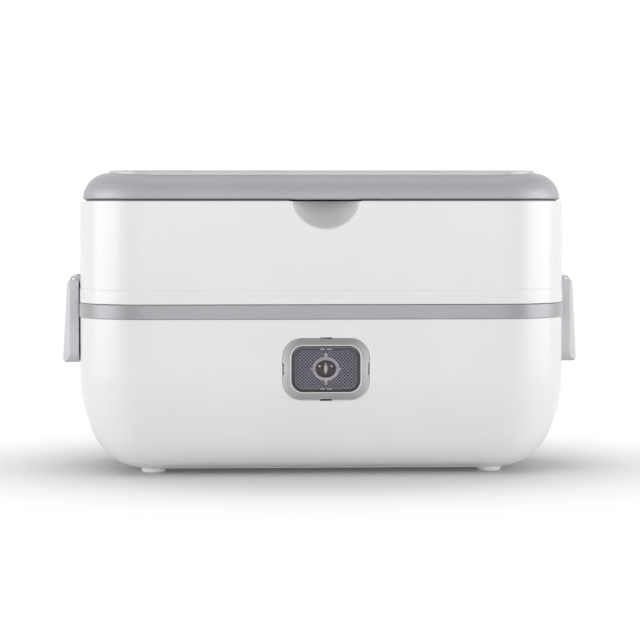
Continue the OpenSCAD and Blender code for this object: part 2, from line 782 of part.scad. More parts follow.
module lamp_lens() {
    color([0.42, 0.4, 0.45, 0.6]) {
        in_front(lamp_flange_t + eps) linear_extrude(lamp_flange_t + eps - lens_set_back)
            rounded_rect(lens_w - 0.1, lens_h - 0.1, lens_r);
        in_front(lamp_flange_t + lens_flange_t) linear_extrude(lens_flange_t)
            rounded_rect(lens_w + 2 * lamp_barrel_margin - fit_gap,
                lens_h + 2 * lamp_barrel_margin - fit_gap, lens_r + lamp_barrel_margin - fit_gap / 2);
    }
}

module lamp_holder() {
    lens_back = lamp_flange_t + lens_flange_t;
    color(white) difference() {
        union() {
            in_front(lamp_depth) linear_extrude(holder_t)
                rounded_rect(lens_w + 2 * lamp_barrel_margin - fit_gap,
                    lens_h + 2 * lamp_barrel_margin - fit_gap, lens_r + lamp_barrel_margin - fit_gap / 2);
            in_front(lamp_depth - holder_t + eps)
                cylinder(d = lamp_collar_d, h = lamp_depth - holder_t - lens_back - 0.3);
            for (z = [-1, 1])
                translate([-0.8, face_y + lens_back + 0.3, lamp_z + z * (lamp_collar_d / 2 + 1.2) - 1.4])
                    cube([1.6, lamp_depth - holder_t - lens_back, 2.8]);
        }
        in_front(lamp_depth + 1) cylinder(d = lamp_collar_d - 3.5, h = lamp_depth);
    }
}

module lamp_led() {
    color([0.85, 0.8, 0.75, 0.7]) {
        in_front(lamp_depth) cylinder(r = 2.5, h = 3);
        in_front(lamp_depth - 3) sphere(2.5);
        in_front(lamp_depth) cylinder(r = 3.4, h = 1);
    }
}

module lamp_board() {
    color([0.25, 0.4, 0.25]) in_front(lamp_depth + board_t) linear_extrude(board_t)
        rounded_rect(lens_w - 4, lens_h - 4, 1.5);
}

module inlet_socket() {
    color(dark) difference() {
        union() {
            translate([inlet_x - inlet_flange_t, 0, inlet_z]) rotate([90, 0, 90])
                linear_extrude(inlet_flange_t) rounded_rect(inlet_w, inlet_h, inlet_corner);
            translate([inlet_x - inlet_core_l, 0, inlet_z]) rotate([90, 0, 90])
                linear_extrude(inlet_core_l) rounded_rect(inlet_core_w, inlet_core_h, inlet_corner);
        }
        translate([inlet_x - inlet_cavity, 0, inlet_z]) rotate([90, 0, 90])
            linear_extrude(inlet_cavity + 1)
            rounded_rect(2 * (inlet_slot_half + inlet_slot_r), 2 * inlet_slot_r, inlet_slot_r - 0.05);
        for (y = [-1, 1])
            translate([inlet_x - 2 * inlet_core_l, 0, inlet_z]) rotate([0, 90, 0]) {
                translate([0, y * inlet_pin_pitch / 2, 0])
                    cylinder(r = inlet_pin_r + press_gap, h = 2 * inlet_core_l);
                translate([0, y * inlet_screw_y, 0])
                    cylinder(r = screw_r + 0.4, h = 4 * inlet_core_l);
            }
    }
}

module inlet_pins() {
    color([0.78, 0.68, 0.4]) for (y = [-1, 1])
        translate([inlet_x - inlet_cavity - 8, y * inlet_pin_pitch / 2, inlet_z]) rotate([0, 90, 0]) {
            cylinder(r = inlet_pin_r, h = inlet_cavity + 8 - 3);
            translate([0, 0, inlet_cavity + 8 - 3 - eps])
                cylinder(r1 = inlet_pin_r, r2 = inlet_pin_r / 2, h = 1);
        }
}

module inlet_screws() {
    color(steel) for (y = [-1, 1])
        translate([inlet_x, y * inlet_screw_y, inlet_z]) rotate([0, -90, 0]) screw(inlet_screw_l);
}

module food_box() {
    color(steel) {
        around_body() difference() {
            union() {
                cup(box_inset, box_z, box_edge_r, z_box_top);
                bar(box_flange_out, corner_r, z_box_flange, z_box_top);
            }
            cup(box_inset + sheet_t, box_z + sheet_t, box_edge_r - sheet_t, z_box_top + 1);
        }
        middle(box_z, box_z + sheet_t);
    }
}

module food_box_cover() {
    z_plate = z_cover + lid_plate_t;
    color([0.9, 0.92, 0.94, 0.8]) difference() {
        union() {
            around_body() {
                bar(box_cover_out, box_cover_out + box_cover_skirt, z_box_flange + move_gap, z_cover);
                bar(box_cover_out, raised_out + lid_plate_t, z_cover, z_plate);
                bar(raised_out, raised_out + lid_plate_t, z_plate, z_cover_top - lid_plate_t);
                bar(raised_out, corner_r, z_cover_top - lid_plate_t, z_cover_top);
                bar(seal_rib_in, seal_rib_in + 1, z_box_top + move_gap, z_cover);
            }
            middle(z_cover_top - lid_plate_t, z_cover_top);
        }
        translate([plug_x, 0, z_cover]) cylinder(r = plug_hole_r, h = cover_rise + 2 * lid_plate_t);
    }
}

module cover_seal() {
    color(silicone) around_body() {
        bar(seal_out, seal_out + seal_w, z_box_top + seal_t / 2, z_cover);
        bar(seal_out, seal_out + seal_w / 3, z_box_top, z_box_top + seal_t / 2);
        bar(seal_out + seal_w * 2 / 3, seal_out + seal_w, z_box_top, z_box_top + seal_t / 2);
    }
}

module steam_plug() {
    color(silicone) translate([plug_x, 0, 0]) {
        translate([0, 0, z_cover_top - lid_plate_t - 2.4])
            cylinder(r = plug_stem_r, h = lid_plate_t + 2.4 + eps);
        translate([0, 0, z_cover_top]) cylinder(r = plug_head_r, h = plug_head_t);
        translate([-plug_head_r + 1, -0.9, z_cover_top + plug_head_t - eps])
            cube([2 * plug_head_r - 2, 1.8, plug_tab_h + eps]);
    }
}

module upper_shell() {
    skirt_top = z_upper + skirt_h;
    rim_in = upper_draft + upper_wall;
    color(white) difference() {
        union() {
            around_body() {
                translate([corner_r, 0]) polygon([[-upper_wall, z_upper], [skirt_proud, z_upper],
                    [skirt_proud, skirt_top - 0.3], [0, skirt_top], [-upper_draft, z_rim],
                    [-rim_in, z_rim], [-upper_wall, skirt_top]]);
                bar(2, groove_out, z_upper + 1.5, z_groove);
                bar(groove_in, groove_in + groove_rib, z_groove - groove_drop, z_groove);
                bar(2, groove_in + groove_rib, z_groove, z_groove + groove_rib);
                bar(2, 5.5, z_tray_flange - shelf_t, z_tray_flange);
            }
            scoop_pocket();
            for (x = [-1, 1]) shell_knuckles(x);
            for (side = [0, 180]) rotate(side) clip_lugs();
        }
        scoop_cut();
        for (x = [-1, 1])
            translate([x * hinge_x, hinge_y, hinge_z]) rotate([0, 90, 0])
                cylinder(r = hinge_pin_r + press_gap, h = 80, center = true);
    }
}

// The inside wall of the finger scoop
module scoop_pocket() {
    intersection() {
        translate([0, scoop_y, scoop_z]) sphere(scoop_r + scoop_wall);
        translate([-40, -body_d / 2 + upper_wall / 2, z_rim - 2 * scoop_drop])
            cube([80, 40, 2 * scoop_drop]);
    }
}

// The hollow of the finger scoop: a ball whose edge in the front face is rounded over
module scoop_cut() {
    translate([0, scoop_y, scoop_z]) rotate([-90, 0, 0]) rotate_extrude() union() {
        intersection() {
            circle(scoop_r);
            translate([0, -scoop_r]) square([scoop_r, 2 * scoop_r]);
        }
        difference() {
            translate([0, scoop_flare_in - 2]) square([scoop_flare_r, scoop_flare_end - scoop_flare_in + 2]);
            translate([scoop_flare_r, scoop_flare_in + scoop_edge_r]) circle(scoop_edge_r + arc_lap);
        }
    }
}

module shell_knuckles(side) {
    for (end = [-1, 1])
        translate([side * hinge_x + end * (lid_knuckle_l + shell_knuckle_l + 2 * hinge_clear) / 2, 0, 0]) {
            translate([0, hinge_y, hinge_z]) rotate([0, 90, 0])
                cylinder(r = knuckle_r, h = shell_knuckle_l, center = true);
            translate([-shell_knuckle_l / 2, body_d / 2 - upper_draft - upper_wall, z_rim - 1])
                cube([shell_knuckle_l, upper_wall, hinge_z - z_rim + 1]);
        }
}

// Lugs on the right side wall that hold a clip pin
module clip_lugs() {
    for (y = [-1, 1])
        translate([0, y * (lug_y + lug_t / 2) + lug_t / 2, 0]) rotate([90, 0, 0]) linear_extrude(lug_t)
            difference() {
                union() {
                    translate([clip_pin_x, clip_pin_z]) circle(clip_knuckle_r);
                    translate([clip_x - 1, clip_pin_z - clip_knuckle_r])
                        square([clip_pin_out + 1, 2 * clip_knuckle_r]);
                }
                translate([clip_pin_x, clip_pin_z]) circle(clip_pin_r + press_gap);
            }
}

module storage_tray() {
    color([0.93, 0.93, 0.92]) difference() {
        union() {
            around_body() difference() {
                union() {
                    cup(tray_inset, z_tray, tray_edge_r, z_tray_flange + tray_flange_t);
                    bar(upper_draft + upper_wall + fit_gap, corner_r, z_tray_flange,
                        z_tray_flange + tray_flange_t);
                }
                cup(tray_inset + tray_wall, z_tray + tray_wall, tray_edge_r - tray_wall, z_rim + 1);
            }
            middle(z_tray, z_tray + tray_wall);
        }
        intersection() {
            translate([0, scoop_y, scoop_z]) sphere(scoop_r + scoop_wall + fit_gap);
            translate([-40, -body_d / 2, z_tray_flange - 1]) cube([80, body_d / 2, 10]);
        }
    }
}

module upper_seal() {
    color(silicone) around_body() bar(groove_out + 0.1, groove_in - 0.1, z_tongue, z_groove);
}

module clip_pins() {
    half = lug_y + lug_t;
    color(steel) for (side = [-1, 1])
        translate([side * clip_pin_x, 0, clip_pin_z]) rotate([90, 0, 0])
            cylinder(r = clip_pin_r, h = 2 * half, center = true);
}

module lid_hinge_pins() {
    length = lid_knuckle_l + 2 * (shell_knuckle_l + hinge_clear);
    color(steel) for (side = [-1, 1])
        translate([side * hinge_x, hinge_y, hinge_z]) rotate([0, 90, 0])
            cylinder(r = hinge_pin_r, h = length, center = true);
}

// The lid's section: a quarter round shoulder with a small round at its lower edge
module lid_section(inset, low, r, high) {
    bar(inset + r, corner_r, low, high);
    intersection() {
        translate([corner_r - inset - r, z_lid]) circle(r);
        translate([corner_r - inset - r, low]) square([r, high - low]);
    }
}

module lid_shell() {
    lip_x = corner_r - lid_inset - lid_lip_r;
    color(grey) difference() {
        union() {
            around_body() difference() {
                lid_section(lid_inset, z_lid, lid_round, z_lid_top);
                lid_section(lid_inset + lid_wall, z_lid - 1, lid_round - lid_wall, lid_roof);
                translate([lip_x, z_lid - 1]) difference() {
                    square([lid_lip_r + 1, lid_lip_r + 1]);
                    translate([0, lid_lip_r + 1]) circle(lid_lip_r);
                }
            }
            middle(lid_roof, z_lid_top);
            for (x = [-1, 1])
                translate([x * hinge_x, hinge_y, hinge_z]) rotate([0, 90, 0])
                    cylinder(r = knuckle_r, h = lid_knuckle_l, center = true);
            lid_skirt();
        }
        pad(panel_w + 0.2, panel_d + 0.2, panel_r + 0.1, panel_seat, z_top);
        for (x = [-1, 1]) translate([x * hinge_x, hinge_y, hinge_z]) rotate([0, 90, 0]) {
            cylinder(r = hinge_pin_r + pin_gap, h = 2 * lid_knuckle_l, center = true);
            for (end = [-1, 1])
                translate([0, 0, end * (lid_knuckle_l + shell_knuckle_l + 2 * hinge_clear) / 2]) {
                    cylinder(r = knuckle_r + hinge_clear, h = shell_knuckle_l + 2 * hinge_clear,
                        center = true);
                    translate([0, body_d / 2 - lid_skirt_in - hinge_clear - hinge_y,
                        -shell_knuckle_l / 2 - hinge_clear])
                        cube([hinge_z - lid_skirt_z + 1, lid_skirt_in + 2 * hinge_clear,
                            shell_knuckle_l + 2 * hinge_clear]);
                }
        }
    }
}

// The skirt inside the lid's edge: it rests on the flange of the tray and makes way for the scoop
module lid_skirt() {
    difference() {
        around_body() bar(lid_skirt_out, lid_skirt_in, lid_skirt_z, z_lid + 0.38 * lid_round);
        intersection() {
            translate([0, scoop_y, scoop_z]) sphere(scoop_r + scoop_wall + move_gap);
            translate([-body_w / 2, -body_d / 2, lid_skirt_z - 1])
                cube([body_w, body_d / 2, z_lid - lid_skirt_z + 1]);
        }
    }
}

module lid_panel() {
    inner_r = panel_r - panel_edge_r;
    color(pale_grey) difference() {
        union() {
            pad(panel_w, panel_d, panel_r, panel_seat, z_top - panel_edge_r);
            pad(panel_w - 2 * panel_edge_r, panel_d - 2 * panel_edge_r, inner_r,
                z_top - panel_edge_r, z_top);
            sweep_around(panel_w / 2 - panel_r, panel_d / 2 - panel_r)
                translate([inner_r, z_top - panel_edge_r]) intersection() {
                    circle(panel_edge_r);
                    square(panel_edge_r);
                }
        }
        pad(panel_w - 2 * panel_wall, panel_d - 2 * panel_wall, panel_r - panel_wall,
            panel_seat - 1, z_top - panel_wall);
    }
}

// A clip as it hangs on the right side wall
module clip() {
    color(pale_grey) difference() {
        union() {
            difference() {
                clip_block();
                clip_pocket();
            }
            intersection() {
                clip_block();
                union() {
                    clip_hook();
                    for (y = [-1, 1])
                        translate([clip_x + clip_rib_out, y * (catch_w / 2 + 2.5) - 0.6, clip_bottom])
                            cube([clip_out_bottom, 1.2, clip_h]);
                }
            }
            translate([clip_pin_x, 0, clip_pin_z]) rotate([90, 0, 0])
                cylinder(r = clip_knuckle_r, h = 2 * clip_knuckle_half, center = true);
            translate([clip_pin_x - clip_knuckle_r, -clip_knuckle_half, clip_notch_z - 1])
                cube([2 * clip_knuckle_r, 2 * clip_knuckle_half, clip_pin_z - clip_notch_z + 1]);
        }
        translate([clip_pin_x, 0, clip_pin_z]) rotate([90, 0, 0])
            cylinder(r = clip_pin_r + pin_gap, h = 2 * (lug_y + lug_t), center = true);
        for (y = [-1, 1])
            translate([clip_x, y * (lug_y + lug_t / 2) - lug_t / 2 - move_gap, clip_notch_z])
                cube([clip_out_bottom, lug_t + 2 * move_gap, clip_h]);
    }
}

// The clip's outer form: a leaning outer face, bevelled upright edges and round lower corners
module clip_block() {
    x_in = clip_x + clip_in;
    x_bevel = clip_x + clip_bevel_out;
    reach = clip_out_bottom + 4;
    intersection() {
        translate([0, clip_w / 2, 0]) rotate([90, 0, 0]) linear_extrude(clip_w)
            polygon([[x_in, clip_bottom], [clip_x + clip_out_bottom - 1, clip_bottom],
                [clip_x + clip_out_bottom, clip_bottom + 1.5], [clip_x + clip_out_top, clip_top - 1],
                [clip_x + clip_out_top - 1.2, clip_top], [x_in, clip_top]]);
        translate([x_in, 0, clip_bottom]) rotate([90, 0, 90]) linear_extrude(reach)
            union() {
                translate([0, clip_h / 2]) rounded_rect(clip_w, clip_h, clip_corner_r);
                translate([-clip_w / 2, clip_h / 2]) square([clip_w, clip_h / 2]);
            }
        translate([0, 0, clip_bottom - 1]) linear_extrude(clip_h + 2)
            polygon([[x_in, -clip_w / 2], [x_bevel, -clip_w / 2], [x_bevel + reach, reach - clip_w / 2],
                [x_bevel + reach, clip_w / 2 - reach], [x_bevel, clip_w / 2], [x_in, clip_w / 2]]);
    }
}

// The hollow on the clip's inner side
module clip_pocket() {
    y_half = clip_w / 2 - clip_wall;
    translate([0, y_half, 0]) rotate([90, 0, 0]) linear_extrude(2 * y_half)
        polygon([[clip_x, clip_bottom + clip_wall],
            [clip_x + clip_out_bottom - clip_wall, clip_bottom + clip_wall],
            [clip_x + clip_out_top - clip_wall, clip_notch_z - clip_wall],
            [clip_x, clip_notch_z - clip_wall]]);
}

// The nib that catches under the tab of the band ring
module clip_hook() {
    z_hook = z_catch - move_gap;
    translate([clip_x, catch_w / 2 - 0.5, 0]) rotate([90, 0, 0]) linear_extrude(catch_w - 1)
        polygon([[hook_x, z_hook], [clip_out_bottom, z_hook], [clip_out_bottom, z_hook - 3 * hook_t],
            [hook_x + 0.8, z_hook - hook_t], [hook_x, z_hook - hook_t + 0.6]]);
}

module clip_right() {
    clip();
}

module clip_left() {
    rotate(180) clip();
}

lower_shell();
bottom_cover();
cover_screws();
feet();
band_ring();
pan_gasket();
heating_pan();
heater_plate();
heater_clamp();
clamp_nuts();
thermostat();
thermal_fuse();
internal_leads();
lamp_bezel();
lamp_lens();
lamp_holder();
lamp_led();
lamp_board();
inlet_socket();
inlet_pins();
inlet_screws();
food_box();
food_box_cover();
cover_seal();
steam_plug();
upper_shell();
storage_tray();
upper_seal();
clip_pins();
lid_hinge_pins();
lid_shell();
lid_panel();
clip_left();
clip_right();
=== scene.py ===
import json
import math
import bpy
import bmesh
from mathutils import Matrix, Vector

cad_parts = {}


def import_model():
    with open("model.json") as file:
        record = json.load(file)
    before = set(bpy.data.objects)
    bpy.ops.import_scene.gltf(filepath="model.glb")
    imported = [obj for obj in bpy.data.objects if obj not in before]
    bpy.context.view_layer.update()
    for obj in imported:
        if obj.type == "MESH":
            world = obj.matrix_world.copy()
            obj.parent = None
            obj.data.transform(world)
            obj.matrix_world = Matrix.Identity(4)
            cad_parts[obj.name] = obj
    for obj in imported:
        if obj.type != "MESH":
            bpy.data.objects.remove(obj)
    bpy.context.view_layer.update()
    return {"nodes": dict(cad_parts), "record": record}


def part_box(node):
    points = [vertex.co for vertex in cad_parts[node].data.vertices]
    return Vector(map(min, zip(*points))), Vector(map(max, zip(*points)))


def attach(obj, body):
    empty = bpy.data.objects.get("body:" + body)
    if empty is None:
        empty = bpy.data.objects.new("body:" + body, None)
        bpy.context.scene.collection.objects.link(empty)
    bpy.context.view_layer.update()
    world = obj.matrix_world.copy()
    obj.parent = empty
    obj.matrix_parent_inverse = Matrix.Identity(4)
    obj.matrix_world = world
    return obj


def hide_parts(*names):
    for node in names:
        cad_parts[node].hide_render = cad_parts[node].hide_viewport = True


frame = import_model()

NODES = frame["nodes"]
MM = 0.001          # mesh pieces are drawn in millimetres and scaled to metres


# ---------------------------------------------------------------- materials
EDGE_SAMPLES = 4            # rays of each bevel lookup
EDGE_SOFT = 0.00022         # usual rounding of moulded edges, m
FLAT_COS, SHARP_COS = 0.98, 0.8     # bevelled against true normal: a flat face, a lightened edge
WEAR_AND_HIGHLIGHT_REACH = 0.0009         # width of the lightened edges of plastics, part wear and part painted highlight, m
SHEEN_ROUGH = 0.45


def new_material(name):
    """A material with its node tree and its main shader."""
    m = bpy.data.materials.new(name)
    m.use_nodes = True
    return m, m.node_tree, m.node_tree.nodes["Principled BSDF"]


def add(nt, kind, **values):
    """Adds a node; in_NAME or in_NUMBER sets an input, any other word an attribute."""
    n = nt.nodes.new(kind)
    for key, value in values.items():
        if key.startswith("in_"):
            k = key[3:]
            n.inputs[int(k) if k.isdigit() else k.replace("_", " ")].default_value = value
        else:
            setattr(n, key, value)
    return n


def noise(nt, scale, detail=3.0, stretch=None):
    """A noise in the piece's own space, its scale in cells per metre."""
    place = add(nt, "ShaderNodeTexCoord")
    tex = add(nt, "ShaderNodeTexNoise", in_Scale=scale, in_Detail=detail)
    if stretch:
        mapping = add(nt, "ShaderNodeMapping", in_Scale=stretch)
        nt.links.new(place.outputs["Object"], mapping.inputs["Vector"])
        nt.links.new(mapping.outputs["Vector"], tex.inputs["Vector"])
    else:
        nt.links.new(place.outputs["Object"], tex.inputs["Vector"])
    return tex.outputs["Fac"]


def spread(nt, fac, low, high, start=0.3, end=0.7):
    """Maps start..end to low..high."""
    r = add(nt, "ShaderNodeMapRange")
    r.inputs["From Min"].default_value = start
    r.inputs["From Max"].default_value = end
    r.inputs["To Min"].default_value = low
    r.inputs["To Max"].default_value = high
    nt.links.new(fac, r.inputs["Value"])
    return r.outputs["Result"]


def tint(nt, fac, a, b):
    """Blends two colours; the first may also be a socket."""
    mix = add(nt, "ShaderNodeMix", data_type="RGBA")
    if isinstance(a, tuple):
        mix.inputs["A"].default_value = (*a, 1)
    mix.inputs["B"].default_value = (*b, 1)
    nt.links.new(fac, mix.inputs["Factor"])
    if not isinstance(a, tuple):
        nt.links.new(a, mix.inputs["A"])
    return mix.outputs["Result"]


def edge_mask(nt, radius):
    """Near 1 along sharp edges, 0 on flat faces."""
    bevel = add(nt, "ShaderNodeBevel", samples=EDGE_SAMPLES, in_Radius=radius)
    geo = add(nt, "ShaderNodeNewGeometry")
    dot = add(nt, "ShaderNodeVectorMath", operation="DOT_PRODUCT")
    nt.links.new(bevel.outputs["Normal"], dot.inputs[0])
    nt.links.new(geo.outputs["Normal"], dot.inputs[1])
    return spread(nt, dot.outputs["Value"], 0.0, 1.0, FLAT_COS, SHARP_COS)


def surface(nt, b, heights, radius=EDGE_SOFT):
    """Rounds the edges a little and adds bumps given as (height source, distance)."""
    normal = add(nt, "ShaderNodeBevel", samples=EDGE_SAMPLES, in_Radius=radius).outputs["Normal"]
    for fac, distance in heights:
        bump = add(nt, "ShaderNodeBump", in_Strength=1.0, in_Distance=distance)
        nt.links.new(fac, bump.inputs["Height"])
        nt.links.new(normal, bump.inputs["Normal"])
        normal = bump.outputs["Normal"]
    nt.links.new(normal, b.inputs["Normal"])


def scaled(c, k):
    """A colour made lighter or darker, held at 1."""
    return tuple(min(1.0, x * k) for x in c)


def painted_hollow_shade(nt, base, depth, reach, deepest, open_from):
    """Paints shade into a colour in narrow hollows, seams and gaps: ambient occlusion darkens it where the
    surroundings block light.
    """
    sky = add(nt, "ShaderNodeAmbientOcclusion", samples=8, in_Distance=reach)
    mix = add(nt, "ShaderNodeMix", data_type="RGBA", blend_type="MULTIPLY")
    mix.inputs["B"].default_value = (1 - depth, 1 - depth, 1 - depth, 1)
    nt.links.new(spread(nt, sky.outputs["AO"], 1.0, 0.0, deepest, open_from), mix.inputs["Factor"])
    nt.links.new(base, mix.inputs["A"])
    return mix.outputs["Result"]


def moulded(name, colour, rough=0.3, vary=0.02, peel=0.000012, grain=0.0, coat=0.0, wear_and_highlight=0.0,
            coat_rough=0.12, hollow_shade=None, sheen=0.0, soft=EDGE_SOFT, silver=0.0):
    """Injection-moulded plastic: cloudy tone, uneven gloss, fine peel, edges lightened partly as wear
    and partly as a painted highlight, and painted shade in hollows where asked.

    peel and grain are bump heights in metres, wear_and_highlight the lightening of edges (part wear,
    part painted highlight), hollow_shade the arguments of painted_hollow_shade, soft the edge
    rounding in metres, silver the share of metallic pigment.
    """
    m, nt, b = new_material(name)
    cloud = noise(nt, 28, 2)
    fine = noise(nt, 900, 4)
    base = tint(nt, spread(nt, cloud, 0, 1), scaled(colour, 1 - vary), scaled(colour, 1 + vary))
    # edges lightened partly as wear and partly as a painted highlight
    if wear_and_highlight:
        base = tint(nt, edge_mask(nt, WEAR_AND_HIGHLIGHT_REACH), base, scaled(colour, 1 + wear_and_highlight))
    # painted shade in hollows, seams and gaps, from ambient occlusion
    if hollow_shade:
        base = painted_hollow_shade(nt, base, *hollow_shade)
    nt.links.new(base, b.inputs["Base Color"])
    scuff = noise(nt, 110, 5)
    nt.links.new(spread(nt, scuff, rough * 0.94, rough * 1.07, 0.2, 0.8), b.inputs["Roughness"])
    heights = [(fine, peel)]
    if grain:
        heights.append((noise(nt, 4200, 2), grain))
    surface(nt, b, heights, soft)
    b.inputs["Metallic"].default_value = silver
    b.inputs["Sheen Weight"].default_value = sheen
    b.inputs["Sheen Roughness"].default_value = SHEEN_ROUGH
    b.inputs["Coat Weight"].default_value = coat
    b.inputs["Coat Roughness"].default_value = coat_rough
    return m


def rubber(name, colour, rough=0.55, clear=0.0):
    """Rubber or silicone; clear is the share of light that scatters inside it."""
    m, nt, b = new_material(name)
    cloud = spread(nt, noise(nt, 90, 4), 0, 1)
    nt.links.new(tint(nt, cloud, scaled(colour, 0.95), scaled(colour, 1.04)), b.inputs["Base Color"])
    nt.links.new(spread(nt, noise(nt, 500, 3), rough * 0.9, rough * 1.1), b.inputs["Roughness"])
    surface(nt, b, [(noise(nt, 2600, 3), 0.00002)])
    b.inputs["Subsurface Weight"].default_value = clear
    b.inputs["Subsurface Radius"].default_value = (0.002, 0.002, 0.002)
    return m


def metal(name, colour, rough=0.3, brush=(1, 1, 1), depth=0.00001, vary=0.08):
    """Sheet or turned metal with brush marks along one direction."""
    m, nt, b = new_material(name)
    b.inputs["Metallic"].default_value = 1.0
    lines = noise(nt, 700, 6, brush)
    streaks = spread(nt, lines, 0, 1)
    nt.links.new(tint(nt, streaks, scaled(colour, 1 - vary), scaled(colour, 1 + vary)),
                 b.inputs["Base Color"])
    nt.links.new(spread(nt, lines, rough * 0.8, rough * 1.25), b.inputs["Roughness"])
    surface(nt, b, [(lines, depth), (noise(nt, 35, 2), 0.00003)])
    return m


def smoked(name, colour, rough):
    """Clear plastic with a tint."""
    m, nt, b = new_material(name)
    cloud = spread(nt, noise(nt, 60, 2), 0, 1)
    nt.links.new(tint(nt, cloud, scaled(colour, 0.95), scaled(colour, 1.05)), b.inputs["Base Color"])
    nt.links.new(spread(nt, noise(nt, 300, 3), rough * 0.7, rough * 1.3), b.inputs["Roughness"])
    b.inputs["Transmission Weight"].default_value = 1.0
    b.inputs["IOR"].default_value = 1.49
    return m


SHELL = (0.80, 0.80, 0.80)
# In these kinds the edge lightening is part wear and part painted highlight.
KINDS = {
    "shell_white": (moulded, SHELL, dict(vary=0.012, peel=0.000008, coat=0.2)),
    "inner_white": (moulded, (0.78, 0.78, 0.77), dict(rough=0.45, peel=0.00001)),
    # trim_grey and lid_grey take painted shade in their seams and gaps.
    "trim_grey": (moulded, (0.28, 0.275, 0.292), dict(
        rough=0.38, vary=0.025, peel=0.000008, coat=1.0, wear_and_highlight=0.05, coat_rough=0.33,
        hollow_shade=(0.8, 0.005, 0.1, 0.5), sheen=0.3, silver=0.4)),
    "lid_grey": (moulded, (0.355, 0.35, 0.372), dict(
        rough=0.5, vary=0.025, peel=0.000008, coat=0.8, wear_and_highlight=0.05, coat_rough=0.6,
        hollow_shade=(0.96, 0.006, 0.15, 0.5), sheen=0.2, silver=0.4)),
    "panel_grey": (moulded, (0.54, 0.54, 0.55), dict(rough=0.25, peel=0.000006, coat=0.4, wear_and_highlight=0.05)),
    "clip_grey": (moulded, (0.535, 0.53, 0.555), dict(
        rough=0.34, vary=0.025, peel=0.000008, coat=0.5, wear_and_highlight=0.08, coat_rough=0.3, soft=0.0008)),
    "bezel_satin": (moulded, (0.42, 0.42, 0.425), dict(rough=0.28, peel=0.000006, wear_and_highlight=0.08)),
    "dark_plastic": (moulded, (0.03, 0.03, 0.033), dict(
        rough=0.42, vary=0.1, peel=0.00001, grain=0.00001, wear_and_highlight=0.6)),
    "cover_plastic": (moulded, (0.72, 0.75, 0.77), dict(rough=0.38, peel=0.00001)),
    "board_green": (moulded, (0.05, 0.17, 0.075), dict(rough=0.4, vary=0.1, peel=0.00001)),
    "fuse_ceramic": (moulded, (0.66, 0.65, 0.58), dict(rough=0.5, vary=0.06, peel=0.00001)),
    "foot_rubber": (rubber, (0.92, 0.92, 0.92), dict(rough=0.35)),
    "silicone": (rubber, (0.72, 0.74, 0.76), dict(rough=0.45, clear=0.3)),
    "lead_insulation": (rubber, (0.45, 0.06, 0.045), dict(rough=0.42)),
    "stainless_steel": (metal, (0.6, 0.6, 0.6), dict(
        rough=0.24, brush=(0.03, 3.0, 3.0), depth=0.0000015, vary=0.03)),
    "fastener_steel": (metal, (0.55, 0.55, 0.57), dict(rough=0.3, vary=0.12)),
    "cast_aluminium": (metal, (0.56, 0.57, 0.58), dict(rough=0.42, depth=0.00003)),
    "contact_brass": (metal, (0.66, 0.5, 0.24), dict(rough=0.26, brush=(0.1, 1, 1))),
    "lens_smoke": (smoked, (0.4, 0.37, 0.45), dict(rough=0.05)),
    "lamp_clear": (smoked, (0.8, 0.7, 0.66), dict(rough=0.1)),
}
M = {name: kind(name, colour, **values) for name, (kind, colour, values) in KINDS.items()}


def axis(nt, name):
    """One coordinate of the piece's own space, in metres."""
    place = add(nt, "ShaderNodeTexCoord")
    split = add(nt, "ShaderNodeSeparateXYZ")
    nt.links.new(place.outputs["Object"], split.inputs["Vector"])
    return split.outputs[name]


def joined(nt, operation, a, c):
    """One step of arithmetic between a socket and a socket or a number."""
    n = add(nt, "ShaderNodeMath", operation=operation)
    nt.links.new(a, n.inputs[0])
    if isinstance(c, (int, float)):
        n.inputs[1].default_value = c
    else:
        nt.links.new(c, n.inputs[1])
    return n.outputs["Value"]


def frame_with_painted_side_light(name, middle, ends):
    """Satin grey with painted side light that turns it paler towards the left and right ends of the frame, a
    painted highlight along its edges and painted shade in its hollows.
    """
    m, nt, b = new_material(name)
    reach = joined(nt, "ABSOLUTE", axis(nt, "X"), 0.0)
    rise = joined(nt, "ABSOLUTE", joined(nt, "SUBTRACT", axis(nt, "Z"), WINDOW.z), 0.0)
    # painted side light: paler towards the left and right ends
    aside = spread(nt, joined(nt, "SUBTRACT", reach, rise), 0.0, 1.0, -0.001, 0.0185)
    cloud = tint(nt, spread(nt, noise(nt, 60, 2), 0, 1), scaled(middle, 0.97), scaled(middle, 1.03))
    # painted highlight along the edges
    edge_highlighted = tint(nt, edge_mask(nt, 0.0005), tint(nt, aside, cloud, ends), (0.7, 0.7, 0.7))
    # painted shade in the hollows
    nt.links.new(painted_hollow_shade(nt, edge_highlighted, 0.8, 0.003, 0.15, 0.7), b.inputs["Base Color"])
    nt.links.new(spread(nt, noise(nt, 250, 4), 0.26, 0.33), b.inputs["Roughness"])
    surface(nt, b, [(noise(nt, 900, 3), 0.000006)], 0.0001)
    return m


